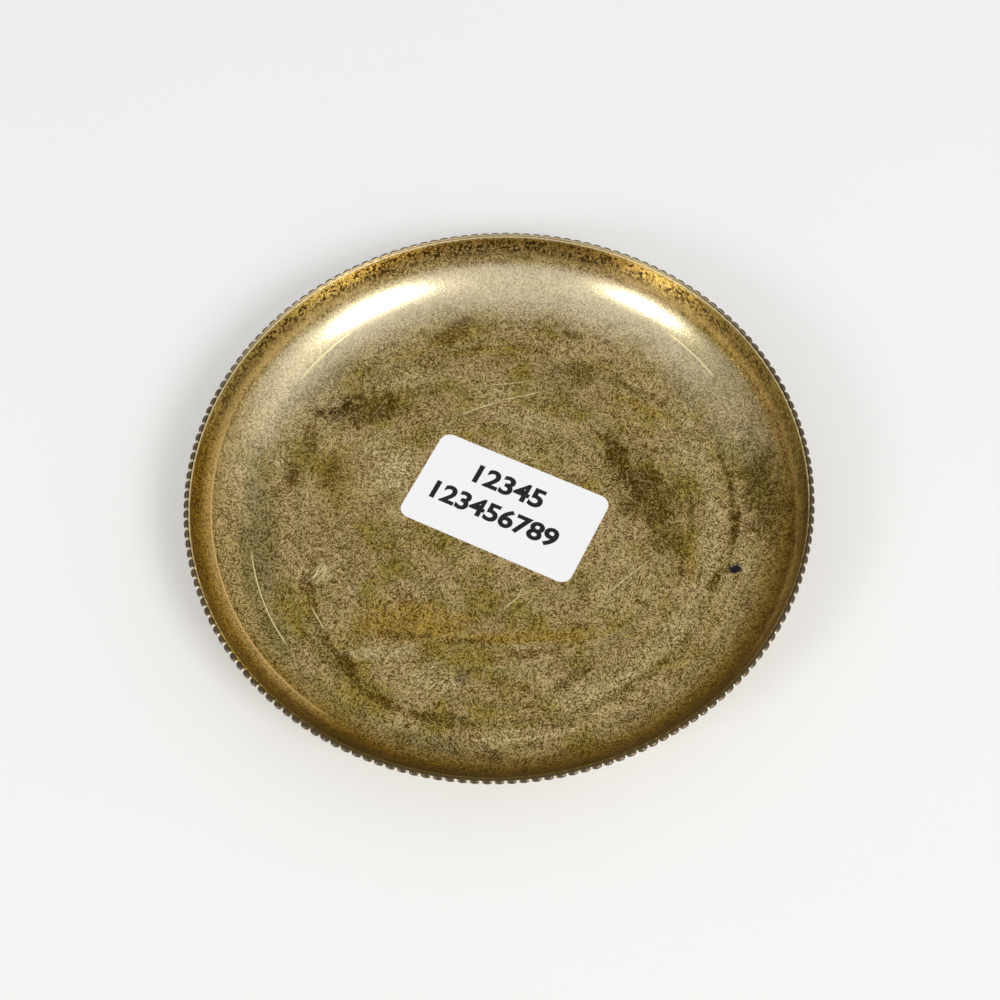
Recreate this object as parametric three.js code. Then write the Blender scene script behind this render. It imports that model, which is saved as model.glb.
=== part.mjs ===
// Round shallow metal trinket dish: a spun bowl, a beaded wire soldered around its lip,
// and a paper label stuck on its floor.
// Millimetres, +Z up. The dish stands on z = 0 and its axis is x = 0, y = 0.
import * as THREE from 'three';
import { mergeVertices } from 'three/addons/utils/BufferGeometryUtils.js';

const radians = THREE.MathUtils.degToRad;

// Driving dimensions of the bowl
const SHEET = 0.4;
const FLOOR_RADIUS = 50;
const WALL_RADIUS = 14.5;
const WALL_SLOPE_AT_FLOOR = radians(16);
const WALL_SLOPE_AT_LIP = radians(81);
const LIP_CROWN = 0.1;

// Driving dimensions of the beaded wire and its solder
const BEAD_COUNT = 174;
const BEAD_THICKNESS = 0.85;
const BEAD_HEIGHT = 0.95;
const BEAD_RISE = 0.4;
const BEAD_OVERLAP = 0.1;
const SOLDER_GAP = 0.04;
const SOLDER_LEG = 0.5;
const SOLDER_WIDTH = 0.3;

// Driving dimensions of the label
const LABEL_LENGTH = 38.1;
const LABEL_WIDTH = 21.2;
const LABEL_THICKNESS = 0.1;
const LABEL_CORNER = 2.2;
const LABEL_PLACE = new THREE.Vector2(1.1, 1.0);
const LABEL_TURN = radians(-30);

// How finely the round shapes are faceted
const TURN_STEPS = 120;
const WALL_STEPS = 7;
const SOLDER_STEPS = 2;
const STEPS_PER_BEAD = 4;
const BEAD_SIDES = 4;
const CORNER_STEPS = 4;

// The wall's inner and outer faces are arcs about one centre, so the sheet is equally thick all over
const wallCentre = new THREE.Vector2(
  FLOOR_RADIUS - WALL_RADIUS * Math.sin(WALL_SLOPE_AT_FLOOR),
  SHEET + WALL_RADIUS * Math.cos(WALL_SLOPE_AT_FLOOR),
);
const outerWallRadius = WALL_RADIUS + SHEET;

// Point of an arc about the wall's centre where the wall has this slope: distance from the axis, then height
function wallPoint(radius, slope) {
  const x = wallCentre.x + radius * Math.sin(slope);
  const y = wallCentre.y - radius * Math.cos(slope);
  return new THREE.Vector2(x, y);
}

function wallArc(radius, fromSlope, toSlope, steps) {
  const slopeAt = (step) => THREE.MathUtils.lerp(fromSlope, toSlope, step / steps);
  return Array.from({ length: steps + 1 }, (_, step) => wallPoint(radius, slopeAt(step)));
}

function slopeAtHeight(radius, height) {
  return Math.acos((wallCentre.y - height) / radius);
}

// Places that the pieces share
const lipInside = wallPoint(WALL_RADIUS, WALL_SLOPE_AT_LIP);
const lipOutside = wallPoint(outerWallRadius, WALL_SLOPE_AT_LIP);
const wireBack = lipOutside.x + SOLDER_GAP;
const wireMiddle = lipOutside.y + BEAD_RISE - BEAD_HEIGHT / 2;
const wireBottom = wireMiddle - BEAD_HEIGHT / 2;

function closedMesh(name, geometry, look) {
  geometry.deleteAttribute('uv');
  geometry.deleteAttribute('normal');
  const solid = mergeVertices(geometry);
  solid.computeVertexNormals();
  const mesh = new THREE.Mesh(solid, new THREE.MeshStandardMaterial(look));
  mesh.name = name;
  return mesh;
}

// A lathe turns about Y, and the dish stands along Z
function turned(profile) {
  return new THREE.LatheGeometry(profile, TURN_STEPS).rotateX(Math.PI / 2);
}

function dishBowl() {
  const slopeAtTable = slopeAtHeight(outerWallRadius, 0);
  const lipTop = lipInside.clone().lerp(lipOutside, 0.5);
  lipTop.y += LIP_CROWN;
  const profile = [
    new THREE.Vector2(0, 0),
    ...wallArc(outerWallRadius, slopeAtTable, WALL_SLOPE_AT_LIP, WALL_STEPS),
    lipTop,
    ...wallArc(WALL_RADIUS, WALL_SLOPE_AT_LIP, WALL_SLOPE_AT_FLOOR, WALL_STEPS),
    new THREE.Vector2(0, SHEET),
  ];
  return closedMesh('dish_bowl', turned(profile), { color: 0x857650, roughness: 0.35, metalness: 1 });
}

// Share of the full bead from -1/2 to 1/2 of the spacing along it: an ellipse, cut short where beads meet
function beadShare(along) {
  const halfLength = 0.5 + BEAD_OVERLAP;
  return Math.sqrt(1 - (along / halfLength) ** 2);
}

// Half-round section of the wire with its flat back to the lip
function beadSection(share, angle) {
  const points = [];
  for (let side = 0; side <= BEAD_SIDES; side += 1) {
    const turn = Math.PI * (side / BEAD_SIDES - 0.5);
    const reach = wireBack + BEAD_THICKNESS * share * Math.cos(turn);
    const height = wireMiddle + (BEAD_HEIGHT / 2) * share * Math.sin(turn);
    points.push(reach * Math.cos(angle), reach * Math.sin(angle), height);
  }
  return points;
}

function beadedRimWire() {
  const sections = BEAD_COUNT * STEPS_PER_BEAD;
  const corners = BEAD_SIDES + 1;
  const positions = [];
  const faces = [];
  for (let section = 0; section < sections; section += 1) {
    const along = ((section / STEPS_PER_BEAD + 0.5) % 1) - 0.5;
    positions.push(...beadSection(beadShare(along), (2 * Math.PI * section) / sections));
    const next = (section + 1) % sections;
    for (let corner = 0; corner < corners; corner += 1) {
      const up = (corner + 1) % corners;
      const here = [section * corners + corner, section * corners + up];
      const there = [next * corners + corner, next * corners + up];
      faces.push(here[0], there[0], there[1], here[0], there[1], here[1]);
    }
  }
  const geometry = new THREE.BufferGeometry();
  geometry.setAttribute('position', new THREE.Float32BufferAttribute(positions, 3));
  geometry.setIndex(faces);
  return closedMesh('beaded_rim_wire', geometry, { color: 0x8f897a, roughness: 0.35, metalness: 1 });
}

// Fillet of solder in the corner between the bowl's outside and the underside of the wire
function rimSolderSeam() {
  const top = wireBottom - SOLDER_GAP;
  const seamRadius = outerWallRadius + SOLDER_GAP;
  const fromSlope = slopeAtHeight(seamRadius, top);
  const toSlope = slopeAtHeight(seamRadius, top - SOLDER_LEG);
  const againstWall = wallArc(seamRadius, fromSlope, toSlope, SOLDER_STEPS);
  const underWire = new THREE.Vector2(wireBack + SOLDER_WIDTH, top);
  const profile = [underWire, ...againstWall, underWire];
  return closedMesh('rim_solder_seam', turned(profile), { color: 0x8a8474, roughness: 0.5, metalness: 1 });
}

function labelOutline() {
  const x = LABEL_LENGTH / 2 - LABEL_CORNER;
  const y = LABEL_WIDTH / 2 - LABEL_CORNER;
  const outline = new THREE.Shape();
  outline.absarc(x, y, LABEL_CORNER, 0, Math.PI / 2);
  outline.absarc(-x, y, LABEL_CORNER, Math.PI / 2, Math.PI);
  outline.absarc(-x, -y, LABEL_CORNER, Math.PI, Math.PI * 1.5);
  outline.absarc(x, -y, LABEL_CORNER, Math.PI * 1.5, Math.PI * 2);
  return outline;
}

function paperLabel() {
  const options = { depth: LABEL_THICKNESS, bevelEnabled: false, curveSegments: CORNER_STEPS };
  const geometry = new THREE.ExtrudeGeometry(labelOutline(), options);
  const label = closedMesh('paper_label', geometry, { color: 0xf4f4f6, roughness: 0.8, metalness: 0 });
  label.position.set(LABEL_PLACE.x, LABEL_PLACE.y, SHEET);
  label.rotation.z = LABEL_TURN;
  return label;
}

const trinketDish = new THREE.Group();
trinketDish.add(dishBowl(), beadedRimWire(), rimSolderSeam(), paperLabel());

export default trinketDish;
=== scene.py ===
"""Looks of a round metal trinket dish with a beaded border and a paper label, laid out as an add-on."""

import math
import random
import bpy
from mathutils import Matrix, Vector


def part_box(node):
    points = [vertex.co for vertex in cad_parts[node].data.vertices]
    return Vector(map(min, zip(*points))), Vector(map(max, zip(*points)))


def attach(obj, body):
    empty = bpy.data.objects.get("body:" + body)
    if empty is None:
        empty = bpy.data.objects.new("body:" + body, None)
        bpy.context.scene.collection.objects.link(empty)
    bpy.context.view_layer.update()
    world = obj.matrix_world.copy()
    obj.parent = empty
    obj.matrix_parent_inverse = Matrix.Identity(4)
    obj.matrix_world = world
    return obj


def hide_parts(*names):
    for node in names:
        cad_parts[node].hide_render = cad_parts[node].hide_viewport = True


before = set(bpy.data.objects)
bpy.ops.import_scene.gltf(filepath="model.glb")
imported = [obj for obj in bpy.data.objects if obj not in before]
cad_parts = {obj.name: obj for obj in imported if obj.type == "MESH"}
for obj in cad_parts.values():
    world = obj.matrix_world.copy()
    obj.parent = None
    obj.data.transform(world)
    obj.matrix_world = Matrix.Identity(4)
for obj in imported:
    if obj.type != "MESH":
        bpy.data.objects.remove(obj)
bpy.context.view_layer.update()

from types import SimpleNamespace

import bmesh
import bpy
from bpy.props import FloatProperty, FloatVectorProperty, IntProperty, PointerProperty, StringProperty
from bpy.types import Operator, Panel, PropertyGroup
from mathutils import Matrix, Vector, noise

bl_info = {
    "name": "Trinket dish",
    "version": (1, 0, 0),
    "blender": (4, 5, 0),
    "location": "3D View > Sidebar > Dish",
    "description": "Makes a tarnished metal dish with a beaded border, its label and a plain studio",
    "category": "Add Mesh",
}

MM = 0.001
BODY = "root"


# Settings that a user would change


def length_setting(name, description, millimetres):
    return FloatProperty(name=name, description=description, default=millimetres * MM, unit="LENGTH")


def angle_setting(name, description, degrees):
    return FloatProperty(
        name=name, description=description, default=math.radians(degrees), subtype="ANGLE")


def colour_setting(name, description, colour):
    return FloatVectorProperty(
        name=name, description=description, default=colour, subtype="COLOR", min=0, max=1)


class BowlSettings(PropertyGroup):
    """Sizes of the spun bowl"""

    sheet: length_setting("Sheet", "Thickness of the metal", 0.4)
    floor_radius: length_setting("Floor radius", "Where the flat floor meets the wall", 50)
    wall_radius: length_setting("Wall radius", "Inside radius of the wall's curve", 14.5)
    floor_slope: angle_setting("Slope at floor", "Slope of the wall where it leaves the floor", 16)
    lip_slope: angle_setting("Slope at lip", "Slope of the wall at its top edge", 81)
    lip_crown: length_setting("Lip crown", "How far the lip's edge is rounded up", 0.1)
    crease_radius: length_setting("Crease radius", "Radius of the bend at the floor's edge", 6.0)
    unevenness: length_setting("Unevenness", "Height of the slow waves left by spinning and use", 0.03)


class BorderSettings(PropertyGroup):
    """Sizes of the beaded wire and its solder"""

    beads: IntProperty(name="Beads", description="How many beads go round the lip", default=174, min=12)
    thickness: length_setting("Thickness", "How far a bead stands out from the wire's back", 0.85)
    overlap: FloatProperty(
        name="Overlap", description="Share of the spacing by which neighbouring beads run together",
        default=0.06, subtype="FACTOR")
    variation: FloatProperty(
        name="Variation", description="Share by which the beads differ in size",
        default=0.05, subtype="FACTOR")
    solder_gap: length_setting("Solder gap", "Clearance between the seam and the bowl", 0.04)


class LabelSettings(PropertyGroup):
    """Sizes of the paper label and what is printed on it"""

    length: length_setting("Length", "Long side of the label", 38.1)
    width: length_setting("Width", "Short side of the label", 21.2)
    corner: length_setting("Corner", "Radius of the label's corners", 2.2)
    turn: angle_setting("Turn", "Angle of the label on the floor", -30)
    digit_height: length_setting("Digit height", "Height of the printed numbers", 4.4)
    row_spacing: length_setting("Row spacing", "Distance between the two printed rows", 6.9)
    first_row: StringProperty(
        name="First row", description="Plain numbers in the first row", default="12345")
    second_row: StringProperty(
        name="Second row", description="Plain numbers in the second row", default="123456789")


class FinishSettings(PropertyGroup):
    """Colours of the metal and the paper"""

    khaki: colour_setting("Khaki", "Darker shade of the tarnished floor", (0.335, 0.251, 0.058))
    # Tan is the floor's own paler tone; on the left wall it is painted light.
    tan: colour_setting("Tan", "Paler shade of the floor and of the left wall", (0.500, 0.385, 0.178))
    olive: colour_setting("Olive", "Deep stains of the floor", (0.190, 0.141, 0.018))
    stain_brown: colour_setting("Stain brown", "Brown stains of the floor", (0.235, 0.146, 0.034))
    ochre: colour_setting("Ochre", "Warm patches of the floor", (0.410, 0.272, 0.052))
    grey_green: colour_setting("Grey-green", "Cool patches, spun rings and solder", (0.278, 0.238, 0.100))
    pale: colour_setting("Pale", "Rubbed patches of the floor", (0.600, 0.500, 0.270))
    brown: colour_setting("Brown", "Pinkish brown clouds of the floor", (0.478, 0.345, 0.178))
    # Silver is painted sheen: the pale reflection of the front light on the far wall, not worn plate.
    silver: colour_setting("Silver", "Plate worn bright on the far wall", (0.680, 0.610, 0.455))
    rim_brown: colour_setting("Rim brown", "Warm tarnish of the wall's upper band", (0.560, 0.430, 0.190))
    # Painted shade: this brown darkens the near wall and the near part of the upper band.
    painted_shade_brown: colour_setting("Wall brown", "Dull tarnish of the near wall", (0.320, 0.208, 0.022))
    # Painted light on parts of the upper band: on the right wall and at the two far corners near the
    # highlights.
    lit_brown: colour_setting("Lit brown", "Paler parts of the wall's upper band", (0.660, 0.510, 0.260))
    gold: colour_setting("Gold", "Golden tarnish of the left upper band", (0.640, 0.430, 0.080))
    # Orange is painted reflection: a bright line along the band's lower edge on the left, and highlight
    # spots at the two far corners.
    orange: colour_setting("Orange", "Rubbed lower edge of the upper band", (1.000, 0.780, 0.380))
    # This colour is the metal in real scratches, and painted glints in the thin bright lines on the
    # crease and wall.
    scratch_and_glint: colour_setting("Glint", "Metal in scratches and burnished lines", (1.000, 0.900, 0.480))
    outer_silver: colour_setting("Outer silver", "Less worn plate of the outside", (0.850, 0.805, 0.710))
    # Painted highlights: the far and left lip, the far beads' tops and backs, and sparkles between beads.
    highlight_metal: colour_setting("Bare metal", "Bright metal on the lip and the beads", (0.930, 0.820, 0.580))
    blue_black: colour_setting("Blue-black", "Bluish spots of the floor", (0.018, 0.020, 0.030))
    speck_brown: colour_setting("Speck brown", "Dark specks, veins and bead spots", (0.045, 0.026, 0.008))
    bead_brown: colour_setting("Bead brown", "Tarnish of the beads and solder", (0.190, 0.145, 0.090))
    # Painted shade high on the near wall and on the near lip.
    shade_edge_brown: colour_setting("Edge brown", "Dirt on the near wall and lip", (0.150, 0.102, 0.028))
    # Painted shade on the tops of the near beads.
    bead_shade: colour_setting("Bead dirt", "Dirt on the tops of the near beads", (0.115, 0.088, 0.055))
    paper: colour_setting("Paper", "White of the label", (0.965, 0.965, 0.975))


class StageSettings(PropertyGroup):
    """Camera and lights"""

    camera_distance: length_setting("Camera distance", "From the camera to the point it looks at", 325)
    camera_elevation: angle_setting("Camera elevation", "Height of the camera above the horizon", 60.83)
    camera_roll: angle_setting("Camera roll", "Tilt of the camera about its line of sight", 4.04)
    camera_lens: FloatProperty(
        name="Lens", description="Focal length on a 36 mm sensor", default=58.76, unit="CAMERA")
    camera_aim: FloatVectorProperty(
        name="Aim", description="Point that the camera looks at",
        default=(0.3 * MM, -0.3 * MM, 5.55 * MM), subtype="TRANSLATION")
    world_strength: FloatProperty(
        name="Room light", description="Brightness of the pale room", default=0.61)
    right_power: FloatProperty(
        name="Right softbox", description="Power of the lamp on the right", default=14.0, unit="POWER")
    left_power: FloatProperty(
        name="Left softbox", description="Power of the lamp on the left", default=7.8, unit="POWER")


class TrinketDishSettings(PropertyGroup):
    """All settings of the dish"""

    bowl: PointerProperty(type=BowlSettings)
    border: PointerProperty(type=BorderSettings)
    label: PointerProperty(type=LabelSettings)
    finish: PointerProperty(type=FinishSettings)
    stage: PointerProperty(type=StageSettings)


# Mesh helpers


def add_piece(name, mesh, material, node=None):
    """Puts a mesh in the scene as a piece of the dish, in place of a CAD node where one is named."""
    piece = bpy.data.objects.new(name, mesh)
    bpy.context.scene.collection.objects.link(piece)
    mesh.materials.append(material)
    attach(piece, BODY)
    if node:
        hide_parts(node)


def finished_mesh(name, shape, sharp_angle=math.radians(50)):
    """Turns a bmesh into a smooth-shaded mesh with its normals facing out."""
    bmesh.ops.recalc_face_normals(shape, faces=shape.faces)
    for face in shape.faces:
        face.smooth = True
    mesh = bpy.data.meshes.new(name)
    shape.to_mesh(mesh)
    shape.free()
    mesh.set_sharp_from_angle(angle=sharp_angle)
    return mesh


def bridge_rings(shape, rings, closed):
    """Faces between neighbouring rings of vertices, each a closed loop or a single vertex on the axis."""
    pairs = list(zip(rings, rings[1:]))
    if closed:
        pairs.append((rings[-1], rings[0]))
    for low, high in pairs:
        count = max(len(low), len(high))
        for here in range(count):
            there = (here + 1) % count
            bottom = [low[here % len(low)], low[there % len(low)]]
            top = [high[there % len(high)], high[here % len(high)]]
            shape.faces.new(list(dict.fromkeys(bottom + top)))


def turned_shape(profile, steps, closed=False, place=None):
    """A shape turned about the axis from (radius, height) points; place can move each point."""
    shape = bmesh.new()
    rings = []
    for radius, height in profile:
        count = steps if radius > 0 else 1
        ring = []
        for step in range(count):
            angle = math.tau * step / count
            spot = Vector((radius * math.cos(angle), radius * math.sin(angle), height))
            ring.append(shape.verts.new(place(spot) if place else spot))
        rings.append(ring)
    bridge_rings(shape, rings, closed)
    return shape


# Node helpers


class Nodes:
    """A node tree, with short ways to add the nodes that the finishes share."""

    def __init__(self, tree):
        self.tree = tree

    def node(self, kind, **settings):
        made = self.tree.nodes.new("ShaderNode" + kind)
        for name, value in settings.items():
            setattr(made, name, value)
        return made

    def feed(self, socket, value):
        """Links a socket to another node's output, or sets it to a plain value."""
        if isinstance(value, bpy.types.NodeSocket):
            self.tree.links.new(value, socket)
        else:
            socket.default_value = value

    def math(self, operation, *values):
        made = self.node("Math", operation=operation)
        for socket, value in zip(made.inputs, values):
            self.feed(socket, value)
        return made.outputs["Value"]

    def plus(self, first, second):
        return self.math("ADD", first, second)

    def minus(self, first, second):
        return self.math("SUBTRACT", first, second)

    def times(self, first, *others):
        """Product of masks and numbers."""
        result = first
        for other in others:
            result = self.math("MULTIPLY", result, other)
        return result

    def vector(self, operation, *values):
        made = self.node("VectorMath", operation=operation)
        for socket, value in zip(made.inputs, values):
            self.feed(socket, value)
        return made.outputs["Value" if operation in ("LENGTH", "DOT_PRODUCT") else "Vector"]

    def scaled(self, vector, size):
        made = self.node("VectorMath", operation="SCALE")
        self.feed(made.inputs["Vector"], vector)
        self.feed(made.inputs["Scale"], size)
        return made.outputs["Vector"]

    def split(self, vector):
        made = self.node("SeparateXYZ")
        self.feed(made.inputs["Vector"], vector)
        return made.outputs["X"], made.outputs["Y"], made.outputs["Z"]

    def turned(self, vector, angle):
        made = self.node("VectorRotate", rotation_type="Z_AXIS")
        self.feed(made.inputs["Vector"], vector)
        self.feed(made.inputs["Angle"], angle)
        return made.outputs["Vector"]

    def step(self, value, low, high):
        """Smooth step from 0 at low to 1 at high; it falls where high is below low."""
        made = self.node("MapRange", interpolation_type="SMOOTHSTEP")
        for name, number in (("Value", value), ("From Min", low), ("From Max", high)):
            self.feed(made.inputs[name], number)
        return made.outputs["Result"]

    def band(self, value, start, full, fade, end):
        """Smooth band: rises from start to full, stays, and falls from fade to end."""
        return self.times(self.step(value, start, full), self.step(value, end, fade))

    def noise(self, place, scale, detail=2.0, roughness=0.5, shift=0.0):
        """Fractal noise about 0.5; shift moves it so that layers differ."""
        made = self.node("TexNoise")
        moved = self.vector("ADD", place, (shift, -shift, shift)) if shift else place
        self.feed(made.inputs["Vector"], moved)
        self.feed(made.inputs["Scale"], scale)
        self.feed(made.inputs["Detail"], detail)
        self.feed(made.inputs["Roughness"], roughness)
        return made.outputs["Fac"]

    def mix(self, share, first, second, blend_type="MIX"):
        made = self.node("Mix", data_type="RGBA", blend_type=blend_type, clamp_result=True)
        factor, first_in, second_in = made.inputs[0], made.inputs[6], made.inputs[7]
        self.feed(factor, share)
        self.feed(first_in, first)
        self.feed(second_in, second)
        return made.outputs[2]

    def layers(self, colour, coats):
        """Colour with coats over it in turn; each is a mask, the most it covers, and its colour."""
        for mask, share, coat in coats:
            colour = self.mix(self.times(mask, share), colour, rgba(coat))
        return colour

    def strongest(self, masks):
        """The strongest of several masks at each place."""
        result = masks[0]
        for mask in masks[1:]:
            result = self.math("MAXIMUM", result, mask)
        return result


class Finish(Nodes):
    """A new material, with its shader's inputs."""

    def __init__(self, name, metallic=0.0):
        self.material = bpy.data.materials.new(name)
        self.material.use_nodes = True
        super().__init__(self.material.node_tree)
        self.shader = self.tree.nodes["Principled BSDF"]
        self.shader.inputs["Metallic"].default_value = metallic

    def set(self, name, value):
        self.feed(self.shader.inputs[name], value)

    def millimetres(self):
        """Place on the object, in millimetres."""
        return self.scaled(self.node("TexCoord").outputs["Object"], 1 / MM)

    def bump(self, height, depth):
        made = self.node("Bump")
        self.feed(made.inputs["Height"], height)
        made.inputs["Distance"].default_value = depth
        self.set("Normal", made.outputs["Normal"])


def rgba(colour):
    return (*colour, 1.0)


# Outline of the bowl

# How finely the bowl is faceted
BOWL_TURN_STEPS = 288
UNDERSIDE_RINGS = 6
OUTER_WALL_STEPS = 20
LIP_STEPS = 6
INNER_WALL_STEPS = 26
CREASE_STEPS = 5
FLOOR_RINGS = 18


def blend(low, high, share):
    return low + (high - low) * share


def wall_point(bowl, radius, slope):
    """Point at this slope on an arc about the wall's centre, as (distance from the axis, height)."""
    centre_out = bowl.floor_radius - bowl.wall_radius * math.sin(bowl.floor_slope)
    centre_up = bowl.sheet + bowl.wall_radius * math.cos(bowl.floor_slope)
    return centre_out + radius * math.sin(slope), centre_up - radius * math.cos(slope)


def wall_arc(bowl, radius, from_slope, to_slope, steps):
    slopes = [blend(from_slope, to_slope, step / steps) for step in range(steps + 1)]
    return [wall_point(bowl, radius, slope) for slope in slopes]


def wall_slope_at(bowl, radius, height):
    _, centre_up = wall_point(bowl, 0, 0)
    return math.acos((centre_up - height) / radius)


def rounded_lip(bowl):
    """Points over the lip's edge, from its outside to its inside."""
    outside = Vector(wall_point(bowl, bowl.wall_radius + bowl.sheet, bowl.lip_slope))
    inside = Vector(wall_point(bowl, bowl.wall_radius, bowl.lip_slope))
    middle = (outside + inside) / 2
    half = (outside - inside) / 2
    crown = Vector((0, bowl.lip_crown))
    angles = [math.pi * step / LIP_STEPS for step in range(1, LIP_STEPS)]
    return [tuple(middle + half * math.cos(angle) + crown * math.sin(angle)) for angle in angles]


def crease_slope(bowl):
    """Slope of the wall where the rounded crease, tangent to wall and floor, meets it."""
    drop = bowl.wall_radius * math.cos(bowl.floor_slope) - bowl.crease_radius
    return math.acos(drop / (bowl.wall_radius - bowl.crease_radius))


def rounded_crease(bowl):
    """Points round the bend, from below where it meets the wall to the flat floor."""
    radius = bowl.crease_radius
    meeting = crease_slope(bowl)
    centre_out, centre_up = wall_point(bowl, bowl.wall_radius - radius, meeting)
    slopes = [blend(meeting, 0, step / CREASE_STEPS) for step in range(1, CREASE_STEPS + 1)]
    return [
        (centre_out + radius * math.sin(slope), centre_up - radius * math.cos(slope))
        for slope in slopes
    ]


def bowl_profile(bowl):
    """Outline of the sheet from the underside's middle, round the lip, to the floor's middle."""
    outer = bowl.wall_radius + bowl.sheet
    slope_at_table = wall_slope_at(bowl, outer, 0)
    table_edge, _ = wall_point(bowl, outer, slope_at_table)
    crease = rounded_crease(bowl)
    floor_edge, _ = crease[-1]
    underside = [(table_edge * ring / UNDERSIDE_RINGS, 0.0) for ring in range(UNDERSIDE_RINGS)]
    floor = [(floor_edge * (1 - ring / FLOOR_RINGS), bowl.sheet) for ring in range(1, FLOOR_RINGS + 1)]
    return [
        *underside,
        *wall_arc(bowl, outer, slope_at_table, bowl.lip_slope, OUTER_WALL_STEPS),
        *rounded_lip(bowl),
        *wall_arc(bowl, bowl.wall_radius, bowl.lip_slope, crease_slope(bowl), INNER_WALL_STEPS),
        *crease,
        *floor,
    ]


# Marks on the bowl's plate

# Patches of the floor in millimetres: centre, half length, half width, turn in degrees, strength
OLIVE_STAINS = (
    ((-26, 26.5), 11.0, 5.0, 10, 0.9),
    ((-14, 29.5), 5.0, 1.2, 10, 0.5),
    ((-34, 11), 3.5, 7.0, -10, 0.6),
    ((-8, 44.5), 6.5, 2.8, 15, 0.6),
    ((19, 41.5), 3.4, 1.8, -20, 0.7),
    ((13, 43.5), 2.6, 1.3, -15, 0.5),
    ((26, 9), 12.0, 3.2, -70, 1.1),
    ((30, 2), 15.0, 6.5, -72, 1.0),
    ((33, -8), 9.0, 5.0, -75, 0.6),
    ((31, 26), 9.0, 1.5, -35, 0.5),
    ((51.5, 3), 3.5, 8.0, 8, 0.8),
    ((53, -2), 5.0, 16.0, 6, 0.8),
    ((13, -36.5), 10.0, 1.7, 35, 0.6),
    ((10, -46), 6.0, 1.2, 13, 0.6),
    ((24, -39), 3.5, 2.0, 30, 0.5),
    ((18, 33), 7.0, 3.0, -20, 0.45),
    ((-12, -44), 9.0, 1.8, -14, 0.6),
)
BROWN_STAINS = (
    ((-4.5, 47.2), 2.4, 2.2, 0, 1.2),
    ((-42, 12), 2.0, 6.5, 5, 0.7),
    ((-38, 20), 1.6, 8.0, 5, 0.6),
    ((-39, -13), 2.2, 3.8, 20, 0.9),
    ((-31.5, -31), 4.2, 2.2, -55, 1.0),
    ((27, -1), 3.5, 6.0, 0, 0.6),
    ((47, -7), 6.0, 1.1, 78, 1.1),
    ((41, -19.5), 4.6, 1.2, 63, 0.9),
    ((43.5, -16.9), 3.0, 0.9, 5, 0.6),
    ((-4, -52), 4.4, 2.0, 0, 0.6),
    ((3, -31.7), 6.0, 1.4, 5, 0.6),
    ((-3, -37), 3.2, 1.3, 0, 0.6),
    ((-20, -26), 8.0, 1.3, -8, 0.6),
    ((-9, -28), 7.0, 1.0, -3, 0.7),
)
OCHRE_PATCHES = (
    ((-18, -23.5), 17.0, 6.5, -9, 1.0),
    ((3, -28.3), 18.0, 1.9, -3, 1.0),
    ((3, 39), 11.0, 1.3, -3, 0.6),
    ((-33, 10), 7.0, 12.0, 0, 0.5),
    ((32, 22), 8.5, 2.0, -33, 0.8),
    ((-7, 44), 8.0, 3.2, 10, 0.7),
    ((-17, 39.5), 5.0, 2.0, 10, 0.5),
    ((37, -13), 1.6, 9.0, -4, 0.7),
)
COOL_PATCHES = (
    ((-49, -3), 5.5, 26.0, 2, 0.9),
    ((-45, -24), 4.5, 9.0, 28, 0.8),
    ((-36, 34), 12.0, 4.5, 42, 0.7),
    ((42, 26), 5.0, 9.0, 35, 0.6),
    ((47, 13), 4.0, 10.0, 12, 0.6),
    ((53, 6), 4.5, 14.0, 8, 0.8),
    ((-16, -49), 9.0, 3.5, -15, 0.8),
    ((16, 30), 10.0, 4.5, -10, 0.6),
)
PALE_PATCHES = (
    ((-20.5, 11), 7.0, 5.5, 45, 1.0),
    ((-16, 33), 13.0, 2.6, 8, 0.5),
    ((-24, 18), 7.0, 4.5, 35, 0.5),
    ((-14, -35.5), 8.0, 4.0, -15, 0.6),
    ((38, 10), 3.6, 6.5, 12, 0.6),
    ((40, 17.5), 2.6, 1.8, -40, 0.9),
    ((8, 21), 12.0, 4.0, -20, 0.35),
    ((-27, -29.5), 10.0, 1.7, -8, 0.7),
)
BLUE_BLACK_SPOTS = (
    ((-9.5, -35.5), 1.9, 1.7, 0, 0.45),
    ((45.7, -16.6), 1.9, 1.7, 0, 1.3),
)
CRACKLED_STAIN = ((-31.5, 27.5), 6.5, 4.0, 15, 1.6)
PATCH_SOFTNESS = 0.7
PATCH_RAGGEDNESS = 0.6

# Rings worn round part of the floor: radius (mm), azimuth, half span (degrees), half width, strength
PALE_RINGS = (
    (49.0, 272, 17, 0.5, 1.0),
    (47.2, 270, 10, 0.45, 0.9),
    (43.0, 305, 32, 3.4, 0.5),
    (43.0, -5, 28, 2.6, 0.5),
    (46.6, 150, 22, 2.0, 0.4),
)
DARK_RINGS = (
    (46.2, 300, 24, 1.3, 0.5),
    (38.5, -12, 20, 1.0, 0.6),
    (47.0, -2, 22, 1.0, 0.8),
    (40.0, 100, 36, 0.9, 0.35),
    (46.5, 225, 22, 1.2, 0.5),
)

# Brown arc left on the floor by the foot of something round: centre and radius (mm), its strongest
# part (azimuth, full within and gone beyond, degrees) and its section across (start, full, fade, end)
ARC_STAIN_CENTRE = (-4.9, -12.5)
ARC_STAIN_RADIUS = 33.1
ARC_STAIN_PART = (212, 18, 55)
ARC_STAIN_BAND = (-1.0, -0.2, 0.3, 1.5)

# Random scratches: size of a cell, width of a line (mm), share of cells with one, shift of the mosaic
SCRATCH_LAYERS = (
    (2.4, 0.10, 0.6, 3.7),
    (3.7, 0.11, 0.5, 9.1),
    (8.0, 0.12, 0.35, 17.3),
)

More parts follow.
